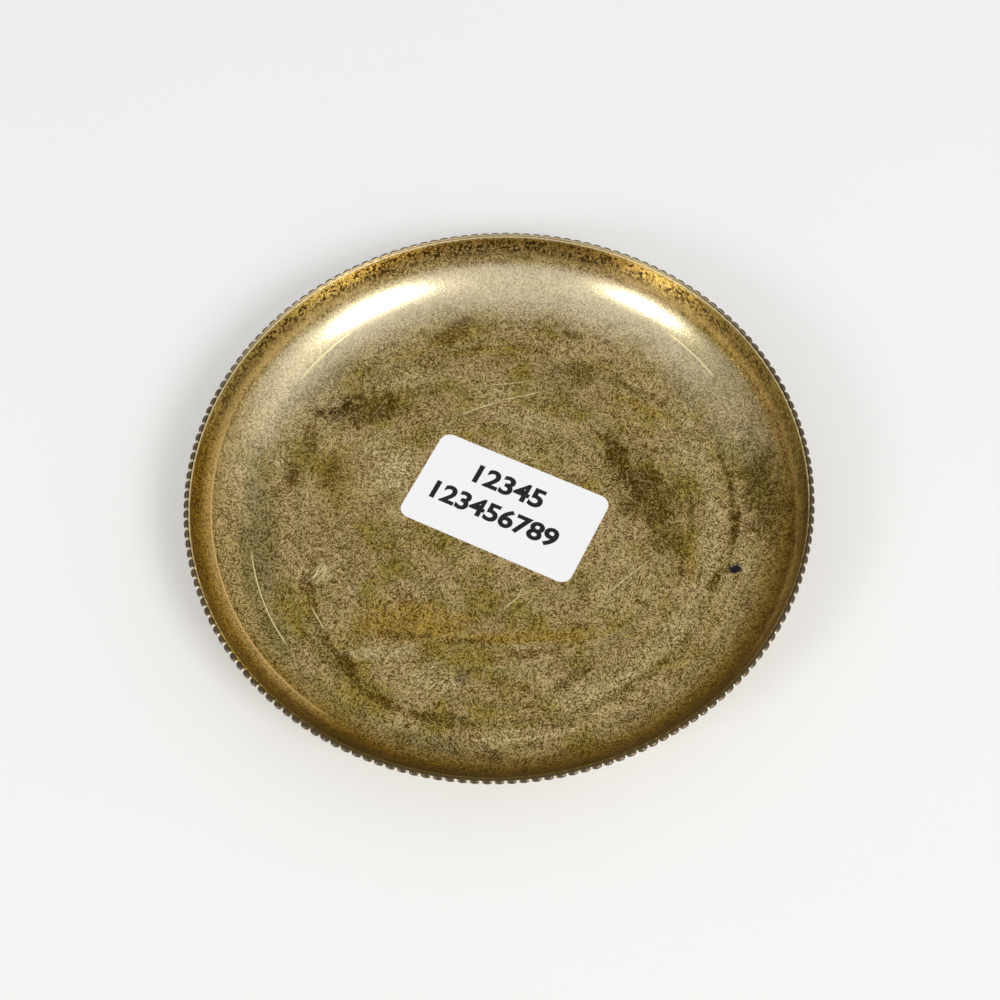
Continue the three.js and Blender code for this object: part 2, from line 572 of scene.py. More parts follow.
# Long scratches: start and end (mm), width
LONG_SCRATCHES = (
    ((-7.5, 23.3), (2, 26.3), 0.2),
    ((0, 26.2), (12, 28.2), 0.18),
    ((-0.5, 29.6), (3, 28.2), 0.16),
    ((-1, -22), (3.5, -18.5), 0.18),
    ((25.3, 42.4), (28.9, 39.8), 0.2),
    ((17, -22), (31, -12), 0.14),
    ((-2, 30), (9, 31), 0.12),
    ((-38.6, -17.5), (-35.6, -24), 0.2),
)

# Scuffs: centre (mm), size, turn (degrees), strength
SCUFFS = (
    ((-36.5, -11.2), 3.4, 50, 1.0),
    ((-26.8, -28.4), 2.6, 35, 0.4),
    ((-20, -28.9), 2.6, 30, 0.4),
    ((27.6, -20.6), 2.0, 40, 0.6),
    ((-24, -3.5), 2.6, 30, 0.25),
    ((-22, 12), 4.0, 40, 0.2),
)

# Painted glints, thin lines: height up the wall (mm), azimuth, half span (degrees), rise per degree,
# width
PAINTED_GLINT_LINES = (
    (0.4, 199, 14, 0.0, 0.17),
    (4.9, 38, 8, 0.045, 0.24),
    (3.6, 131, 9, -0.07, 0.24),
)

# Parts round the dish in degrees: azimuth (0 on the right, 90 on the far side), full within, gone beyond
# Far side where the wall carries a painted pale sheen.
FAR_WALL_SHEEN = (90, 30, 95)
# Near side where the wall is darkened with painted shade.
NEAR_WALL_SHADE = (278, 15, 115)
# Left side where a tan strip of painted light lies on the wall.
LEFT_WALL_LIGHT = (180, 15, 40)
SHADED_BAND = (260, 20, 90)
GOLDEN_BAND = (185, 25, 55)
# Parts of the upper band painted paler, as if lit.
PAINTED_LIGHT_BANDS = ((-5, 25, 45), (38, 10, 30), (140, 10, 32))
THICK_SPECKS = (95, 40, 90)
THIN_SPECKS = (88, 92, 130)
# Where the band's lower edge carries painted reflection on the left and painted highlight spots at the
# far corners.
LEFT_EDGE_REFLECTION = (180, 36, 58)
LEFT_LINE_REFLECTION = (197, 30, 46)
CORNER_HIGHLIGHTS = ((40, 12, 30), (142, 10, 30))
# Far and left side where the lip carries a painted highlight.
FAR_LIP_HIGHLIGHT = (110, 60, 110)
# Near side where the upper wall and the lip are darkened with painted shade.
NEAR_RIM_SHADE = (268, 28, 68)
NEAR_LIP_SHADE = (285, 50, 85)
# Near side where the beads' tops are darkened with painted shade.
NEAR_BEAD_SHADE = (285, 60, 100)
# Far side where the beads' tops and backs carry painted highlights, and the left side where painted
# sparkles show between beads.
FAR_BEAD_TOP_HIGHLIGHT = (90, 35, 70)
FAR_BEAD_BACK_HIGHLIGHT = (95, 35, 65)
PAINTED_SPARKLE_BEADS = (170, 40, 70)

# Lower edge of the wall's upper band: height up the wall (mm), and where and how far it dips
BAND_EDGE_HEIGHT = 11.1
BAND_EDGE_DIP = 5.8
BAND_DIP_AZIMUTH = 232
BAND_DIP_HALF_SPAN = 82.0

# Heights up the wall (mm): start, full, fade and end of a band, or start and full of what has no end
# Heights of the far wall's painted sheen.
FAR_SHEEN_HEIGHTS = (-6.0, 4.0, 8.5, 11.5)
# Heights of the near wall's painted shade.
NEAR_WALL_SHADE_HEIGHTS = (0.0, 8.0)
# Heights of the painted shade high on the near wall.
NEAR_RIM_SHADE_HEIGHTS = (6.5, 11.0)
SCRATCHED_HEIGHTS = (5.0, -2.0)

# The same, measured up from the lower edge of the upper band
UPPER_BAND_START = (-0.8, 1.2)
# A tan strip of painted light below the band's edge on the left wall.
LEFT_WALL_LIGHT_STRIP = (-5.0, -3.0, -0.5, 0.5)
# The line of painted reflection and its glow along the band's lower edge.
REFLECTION_LINE_BAND = (-0.25, 0.0, 0.15, 0.5)
REFLECTION_GLOW_BAND = (-0.6, 0.2, 0.8, 4.0)

# The same, measured down from the lip
SPECKLED_DEPTHS = (5.2, 3.2, 0.9, 0.2)
# Depths of the painted shade on the near lip.
NEAR_LIP_SHADE_DEPTHS = (0.9, 0.1)
# Depths of the lip's painted highlight.
FAR_LIP_HIGHLIGHT_DEPTHS = (0.2, 0.0)
OUTER_PLATE_DEPTHS = (0.1, 0.5)

# Grain of the plate: what its dark and pale grains multiply the tint by, its depth, and how rough the
# dark grains are
DARK_GRAIN = (0.26, 0.19, 0.05)
PALE_GRAIN = (1.68, 1.69, 1.68)
GRAIN_DEPTH = 0.006 * MM
DULL_ROUGHNESS = 0.43


def plate_places(finish, bowl):
    """Where a point is on the plate, in millimetres, for setting out the marks."""
    centre_out, centre_up = (length / MM for length in wall_point(bowl, 0, 0))
    foot = bowl.floor_radius / MM
    inner = bowl.wall_radius / MM
    sheet = bowl.sheet / MM
    spot = SimpleNamespace()
    spot.lip = bowl.wall_radius * (bowl.lip_slope - bowl.floor_slope) / MM
    spot.place = finish.millimetres()
    spot.flat = finish.vector("MULTIPLY", spot.place, (1, 1, 0))
    spot.radius = finish.vector("LENGTH", spot.flat)
    spot.outward = finish.vector("NORMALIZE", spot.flat)
    height = finish.split(spot.place)[2]
    out = finish.minus(spot.radius, centre_out)
    down = finish.minus(centre_up, height)
    slope = finish.math("ARCTAN2", out, down)
    spot.up_wall = finish.times(finish.minus(slope, bowl.floor_slope), inner)
    on_wall = finish.math("GREATER_THAN", spot.radius, foot)
    climbed = finish.times(on_wall, finish.strongest([spot.up_wall, 0.0]))
    unrolled = finish.plus(finish.math("MINIMUM", spot.radius, foot), climbed)
    spot.spread = finish.scaled(spot.outward, unrolled)
    from_centre = finish.math("SQRT", finish.plus(finish.times(out, out), finish.times(down, down)))
    outer_face = finish.step(from_centre, inner + sheet * 0.5, inner + sheet)
    underside = finish.step(height, sheet * 0.6, sheet * 0.2)
    spot.outside = finish.strongest([finish.times(on_wall, outer_face), underside])
    return spot


def add_clouds(finish, spot):
    """Random masks that make edges ragged, break up patches and give the finest grain."""
    spot.cloud = finish.noise(spot.place, 0.3, 4, 0.65, 11)
    spot.ragged = finish.times(finish.minus(spot.cloud, 0.5), 1.8)
    blotches = finish.noise(spot.place, 0.75, 3, 0.7, 61)
    spot.broken = finish.plus(finish.times(finish.step(blotches, 0.36, 0.60), 0.35), 0.65)
    spot.speckle = finish.noise(spot.spread, 3.5, 2, 0.7, 5)


def side(finish, outward, azimuth, full, none):
    """Mask of the part round one azimuth: 1 within full degrees of it, 0 beyond none degrees."""
    towards = (math.cos(math.radians(azimuth)), math.sin(math.radians(azimuth)), 0)
    closeness = finish.vector("DOT_PRODUCT", outward, towards)
    return finish.step(closeness, math.cos(math.radians(none)), math.cos(math.radians(full)))


def degrees_from(finish, outward, azimuth):
    """Degrees between a point's azimuth and this one, either way."""
    ahead, aside, _ = finish.split(finish.turned(outward, -math.radians(azimuth)))
    return finish.times(finish.math("ABSOLUTE", finish.math("ARCTAN2", aside, ahead)), math.degrees(1))


def below_lip(spot, depths):
    """Heights up the wall at these depths below the lip, in millimetres."""
    return [spot.lip - depth for depth in depths]


def band_edge(finish, spot):
    """Height up the wall where its brown upper band starts: lowest on the near left side."""
    away = finish.math("DIVIDE", degrees_from(finish, spot.outward, BAND_DIP_AZIMUTH), BAND_DIP_HALF_SPAN)
    dip = finish.strongest([finish.minus(1.0, away), 0.0])
    return finish.minus(BAND_EDGE_HEIGHT, finish.times(dip, BAND_EDGE_DIP))


def add_wall_parts(finish, spot):
    """Masks of the wall's upper band, its parts with painted light, the speckled strip and the far wall's
    painted sheen.
    """
    spot.above_edge = finish.minus(spot.up_wall, band_edge(finish, spot))
    spot.above_wavy_edge = finish.plus(spot.above_edge, spot.ragged)
    spot.upper = finish.step(spot.above_wavy_edge, *UPPER_BAND_START)
    # Painted light: the upper band painted paler on the right wall and at the two far corners near the
    # highlights.
    lit = finish.strongest([side(finish, spot.outward, *part) for part in PAINTED_LIGHT_BANDS])
    spot.lit = finish.times(lit, spot.upper)
    spot.under_lip = finish.band(spot.up_wall, *below_lip(spot, SPECKLED_DEPTHS))
    # Painted sheen: a pale silver band on the far wall only, standing in for the reflection of the front
    # light there.
    worn = finish.band(spot.up_wall, *FAR_SHEEN_HEIGHTS)
    spot.worn = finish.times(worn, side(finish, spot.outward, *FAR_WALL_SHEEN))


def patches(finish, spot, table):
    """Ragged oval patches on the floor; each is 1 in its middle, times its strength, and 0 outside."""
    ragged = finish.times(spot.ragged, PATCH_RAGGEDNESS)
    masks = []
    for centre, half_length, half_width, turn, strength in table:
        offset = finish.vector("SUBTRACT", spot.flat, (*centre, 0))
        lined_up = finish.turned(offset, -math.radians(turn))
        oval = finish.vector("LENGTH", finish.vector("DIVIDE", lined_up, (half_length, half_width, 1)))
        mask = finish.step(finish.plus(oval, ragged), 1.0, 1.0 - PATCH_SOFTNESS)
        masks.append(finish.times(mask, strength))
    return finish.times(finish.strongest(masks), spot.broken)


def arc_stain(finish, spot):
    """The broken brown arc on the floor."""
    offset = finish.vector("SUBTRACT", spot.flat, (*ARC_STAIN_CENTRE, 0))
    away = finish.minus(finish.vector("LENGTH", offset), ARC_STAIN_RADIUS)
    line = finish.band(finish.plus(away, spot.ragged), *ARC_STAIN_BAND)
    strong_part = side(finish, finish.vector("NORMALIZE", offset), *ARC_STAIN_PART)
    broken = finish.step(spot.cloud, 0.36, 0.56)
    return finish.times(line, broken, finish.plus(finish.times(strong_part, 0.85), 0.12))


def worn_rings(finish, spot, table):
    """Soft broken rings round part of the floor."""
    masks = []
    for radius, azimuth, half_span, half_width, strength in table:
        wandering = finish.plus(spot.radius, finish.times(spot.ragged, half_width * 0.8))
        away = finish.math("ABSOLUTE", finish.minus(wandering, radius))
        ring = finish.step(away, half_width, half_width * 0.2)
        part = side(finish, spot.outward, azimuth, half_span * 0.4, half_span)
        masks.append(finish.times(ring, part, strength))
    return finish.times(finish.strongest(masks), spot.broken)


def crackle(finish, spot):
    """Dark veins where a stain has dried and cracked."""
    from_vein = finish.minus(finish.noise(spot.place, 0.36, 4, 0.6, 27), 0.5)
    veins = finish.step(finish.math("ABSOLUTE", from_vein), 0.035, 0.010)
    return finish.times(veins, patches(finish, spot, [CRACKLED_STAIN]))


def hatching(finish, spot, cell, shift):
    """Fine hair-like marks: streaks that run a different way in each cell of a random mosaic."""
    mosaic = finish.node("TexVoronoi", voronoi_dimensions="2D")
    finish.feed(mosaic.inputs["Vector"], finish.vector("ADD", spot.spread, (shift, -shift, 0)))
    mosaic.inputs["Scale"].default_value = 1 / cell
    luck = mosaic.outputs["Color"]
    angle = finish.times(finish.split(luck)[0], math.tau)
    stretched = finish.vector("MULTIPLY", finish.turned(spot.spread, angle), (1.0, 5.0, 0))
    apart = finish.vector("ADD", stretched, finish.scaled(luck, 50))
    return finish.noise(apart, 1.0, 1, 0.5)


def hairlines(finish, bent, cell, width, keep, shift):
    """Fine straight scratches: one in each cell of a random mosaic, each at its own angle."""
    place = finish.vector("ADD", finish.scaled(bent, 1 / cell), (shift, shift / 2, 0))
    mosaic = finish.node("TexVoronoi", voronoi_dimensions="2D")
    finish.feed(mosaic.inputs["Vector"], place)
    mosaic.inputs["Scale"].default_value = 1.0
    angle_luck, keep_luck, depth_luck = finish.split(mosaic.outputs["Color"])
    offset = finish.vector("SUBTRACT", place, mosaic.outputs["Position"])
    along, across, _ = finish.split(finish.turned(offset, finish.times(angle_luck, math.tau)))
    line = finish.step(finish.math("ABSOLUTE", across), width / cell, 0.0)
    reach = finish.step(finish.math("ABSOLUTE", along), 0.5, 0.15)
    return finish.times(line, reach, finish.math("LESS_THAN", keep_luck, keep), depth_luck)


def long_scratch(finish, bent, start, end, width):
    """One scratch between two places on the floor, in millimetres."""
    line = Vector(end) - Vector(start)
    middle = (Vector(end) + Vector(start)) / 2
    offset = finish.vector("SUBTRACT", bent, (*middle, 0))
    along, across, _ = finish.split(finish.turned(offset, -math.atan2(line.y, line.x)))
    reach = finish.step(finish.math("ABSOLUTE", along), line.length * 0.5, line.length * 0.2)
    return finish.times(reach, finish.step(finish.math("ABSOLUTE", across), width, 0.0))


def scuff(finish, spot, centre, size, turn, strength):
    """A patch of close parallel scratches where the plate is rubbed bright."""
    patch = patches(finish, spot, [(centre, size, size * 0.7, turn, strength)])
    strokes = finish.vector("MULTIPLY", finish.turned(spot.flat, -math.radians(turn)), (0.5, 3.2, 0))
    return finish.times(patch, finish.step(finish.noise(strokes, 1.0, 1), 0.44, 0.6))


def scratch_marks(finish, spot):
    """All bright scratches of the floor: random hairlines, a few long scratches and scuffed patches."""
    warp = finish.node("TexNoise")
    finish.feed(warp.inputs["Vector"], spot.flat)
    warp.inputs["Scale"].default_value = 0.08
    bow = finish.vector("SUBTRACT", warp.outputs["Color"], (0.5, 0.5, 0.5))
    bent = finish.vector("ADD", spot.flat, finish.vector("MULTIPLY", bow, (1.5, 1.5, 0)))
    fine = finish.strongest([hairlines(finish, bent, *layer) for layer in SCRATCH_LAYERS])
    marks = [finish.times(fine, 0.5)]
    marks += [long_scratch(finish, bent, *ends) for ends in LONG_SCRATCHES]
    marks += [scuff(finish, spot, *patch) for patch in SCUFFS]
    return finish.times(finish.strongest(marks), finish.step(spot.up_wall, *SCRATCHED_HEIGHTS))


def painted_glint_line(finish, spot, height, azimuth, half_span, rise, width):
    """Painted glints: a thin bright line round part of the wall, standing in for a lamp's reflection."""
    ahead = math.radians(azimuth + 90)
    turn = finish.vector("DOT_PRODUCT", spot.outward, (math.cos(ahead), math.sin(ahead), 0))
    wanted = finish.plus(finish.times(turn, math.degrees(rise)), height)
    away = finish.math("ABSOLUTE", finish.minus(spot.up_wall, wanted))
    line = finish.step(away, width, width * 0.3)
    return finish.times(line, side(finish, spot.outward, azimuth, half_span * 0.7, half_span))


def band_specks(finish, spot):
    """Clumps of dark specks under the lip, thickest on the far side."""
    clumps = finish.step(finish.noise(spot.spread, 0.4, 4, 0.7, 21), 0.40, 0.54)
    flecks = finish.step(finish.noise(spot.spread, 1.4, 2, 0.6, 33), 0.47, 0.53)
    thick = finish.times(side(finish, spot.outward, *THICK_SPECKS), 0.4)
    thin = finish.times(side(finish, spot.outward, *THIN_SPECKS), 0.6)
    return finish.times(clumps, flecks, spot.under_lip, finish.plus(thick, thin))


def painted_reflection_edge(finish, spot):
    """Painted reflection along the lower edge of the upper band on the left, and painted highlight spots
    there at the two far corners.
    """
    line = finish.band(spot.above_edge, *REFLECTION_LINE_BAND)
    line = finish.times(line, side(finish, spot.outward, *LEFT_LINE_REFLECTION))
    glow = finish.band(spot.above_edge, *REFLECTION_GLOW_BAND)
    glow = finish.times(glow, finish.step(spot.speckle, 0.38, 0.54))
    left = finish.strongest([line, finish.times(glow, 0.8)])
    left = finish.times(left, side(finish, spot.outward, *LEFT_EDGE_REFLECTION))
    corners = finish.strongest([side(finish, spot.outward, *part) for part in CORNER_HIGHLIGHTS])
    return finish.strongest([left, finish.times(glow, corners, 0.35)])


def far_lip_highlight(finish, spot):
    """Painted highlight along the edge of the lip on the far and left sides."""
    edge = finish.step(spot.up_wall, *below_lip(spot, FAR_LIP_HIGHLIGHT_DEPTHS))
    return finish.times(edge, side(finish, spot.outward, *FAR_LIP_HIGHLIGHT))


def near_painted_shade(finish, spot):
    """Painted shade high on the near wall and on the near edge of the lip."""
    wall = finish.step(spot.up_wall, *NEAR_RIM_SHADE_HEIGHTS)
    wall = finish.times(wall, side(finish, spot.outward, *NEAR_RIM_SHADE), 0.7)
    lip = finish.step(spot.up_wall, *below_lip(spot, NEAR_LIP_SHADE_DEPTHS))
    lip = finish.times(lip, side(finish, spot.outward, *NEAR_LIP_SHADE), 0.85)
    return finish.strongest([wall, lip])


def outer_plate(finish, spot):
    """The outside, where the plate is less worn, with duller patches."""
    below = finish.step(spot.up_wall, *below_lip(spot, OUTER_PLATE_DEPTHS))
    sound = finish.plus(finish.times(finish.step(spot.cloud, 0.34, 0.52), 0.40), 0.55)
    return finish.times(spot.outside, below, sound)


# Finish of the bowl


def floor_tint(finish, spot, colours):
    """Mottled khaki, with faint rings from spinning and patches of other tints."""
    slow = finish.noise(spot.place, 0.06, 4, 0.6)
    tint = finish.mix(finish.step(slow, 0.40, 0.58), rgba(colours.khaki), rgba(colours.tan))
    warm = finish.noise(spot.place, 0.13, 4, 0.6, 51)
    climb = finish.node("CombineXYZ")
    finish.feed(climb.inputs["Z"], finish.times(spot.radius, 0.7))
    ring_place = finish.vector("ADD", finish.scaled(spot.outward, 0.8), climb.outputs["Vector"])
    rings = finish.noise(ring_place, 1.0, 2, 0.6)
    return finish.layers(tint, (
        (finish.step(warm, 0.44, 0.58), 0.7, colours.brown),
        (finish.step(rings, 0.45, 0.65), 0.38, colours.grey_green),
        (patches(finish, spot, OCHRE_PATCHES), 1.0, colours.ochre),
        (patches(finish, spot, COOL_PATCHES), 1.0, colours.grey_green),
        (patches(finish, spot, PALE_PATCHES), 1.0, colours.pale),
        (worn_rings(finish, spot, PALE_RINGS), 1.0, colours.pale),
    ))


def band_tint(finish, spot, colours):
    """Warm brown of the wall's upper band: painted shade on the near side, golden on the left, painted
    light in parts.
    """
    return finish.layers(rgba(colours.rim_brown), (
        (side(finish, spot.outward, *SHADED_BAND), 1.0, colours.painted_shade_brown),
        (side(finish, spot.outward, *GOLDEN_BAND), 1.0, colours.gold),
        (spot.lit, 0.9, colours.lit_brown),
    ))


def wall_tint(finish, spot, colours, tint):
    """The wall over the floor's tint: painted silver sheen on the far wall, painted shade on the near
    side, a tan strip of painted light on the left.
    """
    # Painted shade: the near wall darkened from the floor up.
    near_shade = finish.step(spot.up_wall, *NEAR_WALL_SHADE_HEIGHTS)
    # Painted light: a tan strip below the band's edge, used on the left wall.
    strip = finish.band(spot.above_wavy_edge, *LEFT_WALL_LIGHT_STRIP)
    tint = finish.layers(tint, (
        # Painted sheen on the far wall.
        (spot.worn, 0.6, colours.silver),
        # Painted shade on the near wall.
        (finish.times(near_shade, side(finish, spot.outward, *NEAR_WALL_SHADE)), 0.85, colours.painted_shade_brown),
        (finish.times(strip, side(finish, spot.outward, *LEFT_WALL_LIGHT)), 0.7, colours.tan),
    ))
    return finish.mix(spot.upper, tint, band_tint(finish, spot, colours))


def grain_brightness(finish, spot, stain):
    """Share of pale grains: fewer in stains, more under the far wall's painted sheen and the upper band's
    painted light.
    """
    hairs = finish.plus(hatching(finish, spot, 1.1, 0), hatching(finish, spot, 1.7, 40))
    level = finish.plus(finish.times(hairs, 0.28), finish.times(spot.speckle, 0.44))
    level = finish.plus(level, finish.times(finish.minus(spot.cloud, 0.5), 0.10))
    level = finish.minus(level, finish.times(stain, 0.05))
    grain = finish.step(level, 0.425, 0.580)
    # Fewer dark grains and a paler plate under the far wall's painted sheen and the band's painted light.
    grain = finish.times(grain, finish.minus(1.0, finish.times(spot.worn, 0.4)))
    return finish.plus(grain, finish.plus(finish.times(spot.worn, 0.50), finish.times(spot.lit, 0.26)))


def plate_roughness(finish, spot, bright, lines):
    """Smoother where the plate is bright, under the far wall's painted sheen, outside or under the lip;
    rougher in the lines of painted glints.
    """
    roughness = DULL_ROUGHNESS
    for mask, change in (
        (bright, -0.14),
        (spot.outside, -0.15),
        (spot.worn, -0.07),
        (spot.under_lip, -0.10),
        (lines, 0.15),
    ):
        roughness = finish.plus(roughness, finish.times(mask, change))
    return roughness


def plate_finish(colours, bowl):
    """Tarnished silver plate: grainy mottled floor, painted sheen on the far wall, warm speckled band
    under the lip, and painted glints, highlights, reflection and shade in places.
    """
    finish = Finish("tarnished_plate", metallic=1.0)
    spot = plate_places(finish, bowl)
    add_clouds(finish, spot)
    add_wall_parts(finish, spot)

    olive = finish.strongest([patches(finish, spot, OLIVE_STAINS), worn_rings(finish, spot, DARK_RINGS)])
    brown = finish.strongest([patches(finish, spot, BROWN_STAINS), arc_stain(finish, spot)])
    tint = finish.layers(floor_tint(finish, spot, colours), (
        (olive, 0.76, colours.olive),
        (brown, 0.80, colours.stain_brown),
    ))
    tint = wall_tint(finish, spot, colours, tint)

    bright = grain_brightness(finish, spot, finish.strongest([olive, brown]))
    dark_grain = finish.mix(1.0, tint, rgba(DARK_GRAIN), "MULTIPLY")
    pale_grain = finish.mix(1.0, tint, rgba(PALE_GRAIN), "MULTIPLY")
    grained = finish.mix(bright, dark_grain, pale_grain)

    scratches = scratch_marks(finish, spot)
    # Painted glints: thin bright lines standing in for a lamp's reflection on the crease and wall.
    lines = finish.strongest([painted_glint_line(finish, spot, *line) for line in PAINTED_GLINT_LINES])
    colour = finish.layers(grained, (
        (band_specks(finish, spot), 0.95, colours.speck_brown),
        (crackle(finish, spot), 0.85, colours.speck_brown),
        (patches(finish, spot, BLUE_BLACK_SPOTS), 1.0, colours.blue_black),
        # Painted reflection and painted highlight spots along the band's lower edge.
        (painted_reflection_edge(finish, spot), 1.0, colours.orange),
        (scratches, 0.95, colours.scratch_and_glint),
        # Painted highlight along the far and left lip.
        (far_lip_highlight(finish, spot), 0.7, colours.highlight_metal),
        # Painted shade on the near wall and lip.
        (near_painted_shade(finish, spot), 1.0, colours.shade_edge_brown),
        (lines, 1.0, colours.scratch_and_glint),
        (outer_plate(finish, spot), 1.0, colours.outer_silver),
    ))
    finish.set("Base Color", colour)
    finish.set("Roughness", plate_roughness(finish, spot, bright, lines))
    finish.bump(finish.minus(bright, finish.times(scratches, 0.8)), GRAIN_DEPTH)
    return finish.material


# The bowl

# Slow waves of the inside: their length, and where in the random field they are taken
WAVE_LENGTH = 22 * MM
WAVE_SLICE = 10 * MM


class TRINKETDISH_OT_bowl(Operator):
    """Make the spun bowl with its tarnished plate"""

    bl_idname = "trinket_dish.bowl"
    bl_label = "Bowl"

    def execute(self, context):
        settings = context.scene.trinket_dish
        bowl = settings.bowl

        def uneven(spot):
            wave = noise.noise(Vector((spot.x, spot.y, WAVE_SLICE)) / WAVE_LENGTH)
            inside = 1.0 if spot.z >= bowl.sheet * 0.99 else 0.0
            return spot + Vector((0, 0, bowl.unevenness * wave * inside))

        shape = turned_shape(bowl_profile(bowl), BOWL_TURN_STEPS, place=uneven)
        mesh = finished_mesh("bowl", shape)
        add_piece("bowl", mesh, plate_finish(settings.finish, bowl), "dish_bowl")
        return {"FINISHED"}


# The beaded wire

BEAD_STEPS = 10
BEAD_SIDES = 10
BEAD_LUCK = 7
BEAD_SHARP_ANGLE = math.radians(70)
BEAD_GRAIN_DEPTH = 0.01 * MM


def bead_finish(colours, back):
    """Tarnished beads, with painted sparkles where they meet, painted highlights on the far side and
    painted shade on the near tops; back is their inner radius.
    """
    finish = Finish("border_wire", metallic=1.0)
    place = finish.millimetres()
    flat = finish.vector("MULTIPLY", place, (1, 1, 0))
    outward = finish.vector("NORMALIZE", flat)
    from_back = finish.minus(finish.vector("LENGTH", flat), back / MM)
    cloud = finish.noise(place, 0.9, 3, 0.6)
    grain = finish.noise(place, 4.0, 2, 0.6, 13)
    gap = finish.node("Attribute", attribute_name="gap").outputs["Fac"]
    top = finish.node("Attribute", attribute_name="top").outputs["Fac"]
    # Painted shade: the tops of the near beads darkened.
    near_top_shade = finish.times(finish.step(top, 0.35, 0.80), side(finish, outward, *NEAR_BEAD_SHADE))
    # Painted highlights on the tops and backs of the far beads.
    far_top_highlight = finish.times(finish.step(top, 0.93, 0.99), side(finish, outward, *FAR_BEAD_TOP_HIGHLIGHT))
    far_back_highlight = finish.times(finish.step(from_back, 0.18, 0.06), side(finish, outward, *FAR_BEAD_BACK_HIGHLIGHT))
    # Painted sparkles in the gaps between beads, away from their tops and everywhere on the left side.
    outer = finish.strongest([finish.step(top, 0.85, 0.55), side(finish, outward, *PAINTED_SPARKLE_BEADS)])
    painted_sparkle = finish.times(finish.step(gap, 0.22, 0.40), outer)
    finish.set("Base Color", finish.layers(rgba(colours.bead_brown), (
        (finish.step(cloud, 0.45, 0.7), 0.6, colours.speck_brown),
        (near_top_shade, 0.9, colours.bead_shade),
        (finish.strongest([far_top_highlight, far_back_highlight, painted_sparkle]), 1.0, colours.highlight_metal),
    )))
    finish.set("Roughness", finish.plus(0.2, finish.times(grain, 0.2)))
    finish.bump(grain, BEAD_GRAIN_DEPTH)
    return finish.material


def beaded_wire(border, low, high):
    """Half-round wire with its flat back to the lip, swelling into beads; low and high are its box."""
    shape = bmesh.new()
    gap_layer = shape.verts.layers.float.new("gap")
    top_layer = shape.verts.layers.float.new("top")
    luck = random.Random(BEAD_LUCK)
    back = high.x - border.thickness
    middle = (low.z + high.z) / 2
    half_height = (high.z - low.z) / 2
    half_length = 0.5 + border.overlap
    neck = math.sqrt(1 - (0.5 / half_length) ** 2)
    rings = []
    for bead in range(border.beads):
        size = 1 - border.variation * luck.random()
        for step in range(BEAD_STEPS):
            along = step / BEAD_STEPS - 0.5
            share = math.sqrt(1 - (along / half_length) ** 2)
            swell = neck + (share - neck) * size
            angle = math.tau * (bead + along) / border.beads
            ring = []
            for corner in range(BEAD_SIDES + 1):
                turn = math.pi * (corner / BEAD_SIDES - 0.5)
                reach = back + border.thickness * swell * math.cos(turn)
                height = middle + half_height * swell * math.sin(turn)
                vertex = shape.verts.new((reach * math.cos(angle), reach * math.sin(angle), height))
                vertex[gap_layer] = 1 - share
                vertex[top_layer] = math.sin(turn)
                ring.append(vertex)
            rings.append(ring)
    bridge_rings(shape, rings, closed=True)
    return shape


class TRINKETDISH_OT_border(Operator):
    """Make the beaded wire around the lip"""

    bl_idname = "trinket_dish.border"
    bl_label = "Beaded border"

    def execute(self, context):
        settings = context.scene.trinket_dish
        low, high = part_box("beaded_rim_wire")
        mesh = finished_mesh("beaded_wire", beaded_wire(settings.border, low, high), BEAD_SHARP_ANGLE)
        material = bead_finish(settings.finish, high.x - settings.border.thickness)
        add_piece("beaded_wire", mesh, material, "beaded_rim_wire")
        return {"FINISHED"}


# The solder seam

SEAM_TURN_STEPS = 360
SEAM_STEPS = 4
SEAM_HOLLOW = 0.3
LUMP_LENGTH = 3 * MM
LUMP_HEIGHT = 0.12 * MM
SOLDER_GRAIN_DEPTH = 0.03 * MM


def solder_finish(colours):
    """Dull grey solder, a little lumpy."""
    finish = Finish("solder", metallic=1.0)
    lumps = finish.noise(finish.millimetres(), 0.7, 3, 0.6, 3)
    colour = finish.mix(finish.step(lumps, 0.35, 0.7), rgba(colours.bead_brown), rgba(colours.grey_green))
    finish.set("Base Color", colour)
    finish.set("Roughness", finish.plus(0.4, finish.times(lumps, 0.2)))
    finish.bump(lumps, SOLDER_GRAIN_DEPTH)
    return finish.material


class TRINKETDISH_OT_solder(Operator):
    """Make the solder seam under the beaded wire"""

    bl_idname = "trinket_dish.solder"
    bl_label = "Solder seam"

    def execute(self, context):
        settings = context.scene.trinket_dish
        bowl = settings.bowl
        low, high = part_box("rim_solder_seam")
        against = bowl.wall_radius + bowl.sheet + settings.border.solder_gap
        top_slope = wall_slope_at(bowl, against, high.z)
        toe_slope = wall_slope_at(bowl, against, low.z)
        wall_side = wall_arc(bowl, against, top_slope, toe_slope, SEAM_STEPS)
        hollow = Vector(wall_side[0]).lerp(Vector((high.x, low.z)), SEAM_HOLLOW)
        profile = [(high.x, high.z), *wall_side, tuple(hollow)]

        def lumpy(spot):
            wave = noise.noise(spot / LUMP_LENGTH)
            depth = (high.z - spot.z) / (high.z - low.z)
            return spot + Vector((0, 0, LUMP_HEIGHT * wave * depth))

        shape = turned_shape(profile, SEAM_TURN_STEPS, closed=True, place=lumpy)
        mesh = finished_mesh("solder_seam", shape)
        add_piece("solder_seam", mesh, solder_finish(settings.finish), "rim_solder_seam")
        return {"FINISHED"}


# The label

LABEL_CORNER_STEPS = 8
LABEL_SHARP_ANGLE = math.radians(30)
CUT_EDGE_SHARE = 0.25
PAPER_SHADE = 0.97
FIBRE_DEPTH = 0.01 * MM

